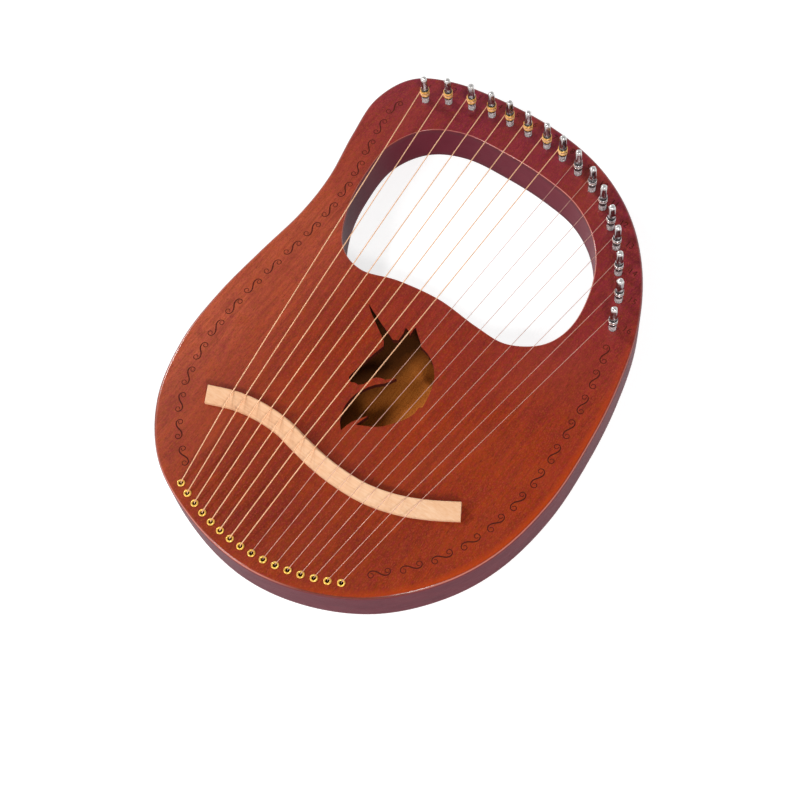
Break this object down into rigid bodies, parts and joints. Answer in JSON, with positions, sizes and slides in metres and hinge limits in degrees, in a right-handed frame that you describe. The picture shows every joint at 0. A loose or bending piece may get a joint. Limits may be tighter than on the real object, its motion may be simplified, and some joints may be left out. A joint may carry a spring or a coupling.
{
  "type": "lyre",
  "caption": "Flat-bodied lyre with an ear-shaped wooden body, large hand hole, unicorn-head soundhole, S-shaped bridge and turning tuning pins.",
  "frame": {"origin": "middle of the body outline's box, on the back face that the lyre lies on", "axes": "+Z out of the front face along the tuning pins, +Y along the strings towards the tuning pins, +X towards the treble side"},
  "size_m": [0.2965, 0.4082, 0.057],
  "materials": {
    "mahogany": "satin lacquered mahogany",
    "block_wood": "bare hardwood",
    "maple": "pale maple, satin",
    "spruce": "bare spruce",
    "brass": "polished brass",
    "pin_steel": "bright nickel plate",
    "bronze_string": "bronze winding",
    "steel_string": "plain bright steel"
  },
  "bodies": {
    "body": {"front_board": "mahogany", "back_board": "mahogany", "side_rim": "mahogany", "hole_rim": "mahogany", "pin_block": "block_wood", "tail_block": "block_wood", "bridge": "maple", "bridge_brace": "spruce", "front_eyelets": "brass", "back_ferrules": "brass", "string_balls": "brass", "string_01": "bronze_string", "string_02": "bronze_string", "string_03": "bronze_string", "string_04": "bronze_string", "string_05": "bronze_string", "string_06": "bronze_string", "string_07": "bronze_string", "string_08": "bronze_string", "string_09": "steel_string", "string_10": "steel_string", "string_11": "steel_string", "string_12": "steel_string", "string_13": "steel_string", "string_14": "steel_string", "string_15": "steel_string", "string_16": "steel_string"},
    "pin_01": {"tuning_pin_01": "pin_steel", "string_coil_01": "bronze_string"},
    "pin_02": {"tuning_pin_02": "pin_steel", "string_coil_02": "bronze_string"},
    "pin_03": {"tuning_pin_03": "pin_steel", "string_coil_03": "bronze_string"},
    "pin_04": {"tuning_pin_04": "pin_steel", "string_coil_04": "bronze_string"},
    "pin_05": {"tuning_pin_05": "pin_steel", "string_coil_05": "bronze_string"},
    "pin_06": {"tuning_pin_06": "pin_steel", "string_coil_06": "bronze_string"},
    "pin_07": {"tuning_pin_07": "pin_steel", "string_coil_07": "bronze_string"},
    "pin_08": {"tuning_pin_08": "pin_steel", "string_coil_08": "bronze_string"},
    "pin_09": {"tuning_pin_09": "pin_steel", "string_coil_09": "steel_string"},
    "pin_10": {"tuning_pin_10": "pin_steel", "string_coil_10": "steel_string"},
    "pin_11": {"tuning_pin_11": "pin_steel", "string_coil_11": "steel_string"},
    "pin_12": {"tuning_pin_12": "pin_steel", "string_coil_12": "steel_string"},
    "pin_13": {"tuning_pin_13": "pin_steel", "string_coil_13": "steel_string"},
    "pin_14": {"tuning_pin_14": "pin_steel", "string_coil_14": "steel_string"},
    "pin_15": {"tuning_pin_15": "pin_steel", "string_coil_15": "steel_string"},
    "pin_16": {"tuning_pin_16": "pin_steel", "string_coil_16": "steel_string"}
  },
  "joints": [
    {"name": "pin_01_turn", "type": "hinge", "parent": "body", "child": "pin_01", "pos_m": [-0.114, 0.172, 0.031], "axis": [0, 0, 1], "continuous": true},
    {"name": "pin_02_turn", "type": "hinge", "parent": "body", "child": "pin_02", "pos_m": [-0.098, 0.18, 0.031], "axis": [0, 0, 1], "continuous": true},
    {"name": "pin_03_turn", "type": "hinge", "parent": "body", "child": "pin_03", "pos_m": [-0.08, 0.185, 0.031], "axis": [0, 0, 1], "continuous": true},
    {"name": "pin_04_turn", "type": "hinge", "parent": "body", "child": "pin_04", "pos_m": [-0.063, 0.187, 0.031], "axis": [0, 0, 1], "continuous": true},
    {"name": "pin_05_turn", "type": "hinge", "parent": "body", "child": "pin_05", "pos_m": [-0.047, 0.1875, 0.031], "axis": [0, 0, 1], "continuous": true},
    {"name": "pin_06_turn", "type": "hinge", "parent": "body", "child": "pin_06", "pos_m": [-0.03, 0.1865, 0.031], "axis": [0, 0, 1], "continuous": true},
    {"name": "pin_07_turn", "type": "hinge", "parent": "body", "child": "pin_07", "pos_m": [-0.012, 0.1845, 0.031], "axis": [0, 0, 1], "continuous": true},
    {"name": "pin_08_turn", "type": "hinge", "parent": "body", "child": "pin_08", "pos_m": [0.004, 0.181, 0.031], "axis": [0, 0, 1], "continuous": true},
    {"name": "pin_09_turn", "type": "hinge", "parent": "body", "child": "pin_09", "pos_m": [0.0205, 0.176, 0.031], "axis": [0, 0, 1], "continuous": true},
    {"name": "pin_10_turn", "type": "hinge", "parent": "body", "child": "pin_10", "pos_m": [0.037, 0.169, 0.031], "axis": [0, 0, 1], "continuous": true},
    {"name": "pin_11_turn", "type": "hinge", "parent": "body", "child": "pin_11", "pos_m": [0.052, 0.1595, 0.031], "axis": [0, 0, 1], "continuous": true},
    {"name": "pin_12_turn", "type": "hinge", "parent": "body", "child": "pin_12", "pos_m": [0.066, 0.148, 0.031], "axis": [0, 0, 1], "continuous": true},
    {"name": "pin_13_turn", "type": "hinge", "parent": "body", "child": "pin_13", "pos_m": [0.0785, 0.1355, 0.031], "axis": [0, 0, 1], "continuous": true},
    {"name": "pin_14_turn", "type": "hinge", "parent": "body", "child": "pin_14", "pos_m": [0.091, 0.118, 0.031], "axis": [0, 0, 1], "continuous": true},
    {"name": "pin_15_turn", "type": "hinge", "parent": "body", "child": "pin_15", "pos_m": [0.103, 0.099, 0.031], "axis": [0, 0, 1], "continuous": true},
    {"name": "pin_16_turn", "type": "hinge", "parent": "body", "child": "pin_16", "pos_m": [0.1115, 0.0775, 0.031], "axis": [0, 0, 1], "continuous": true}
  ]
}
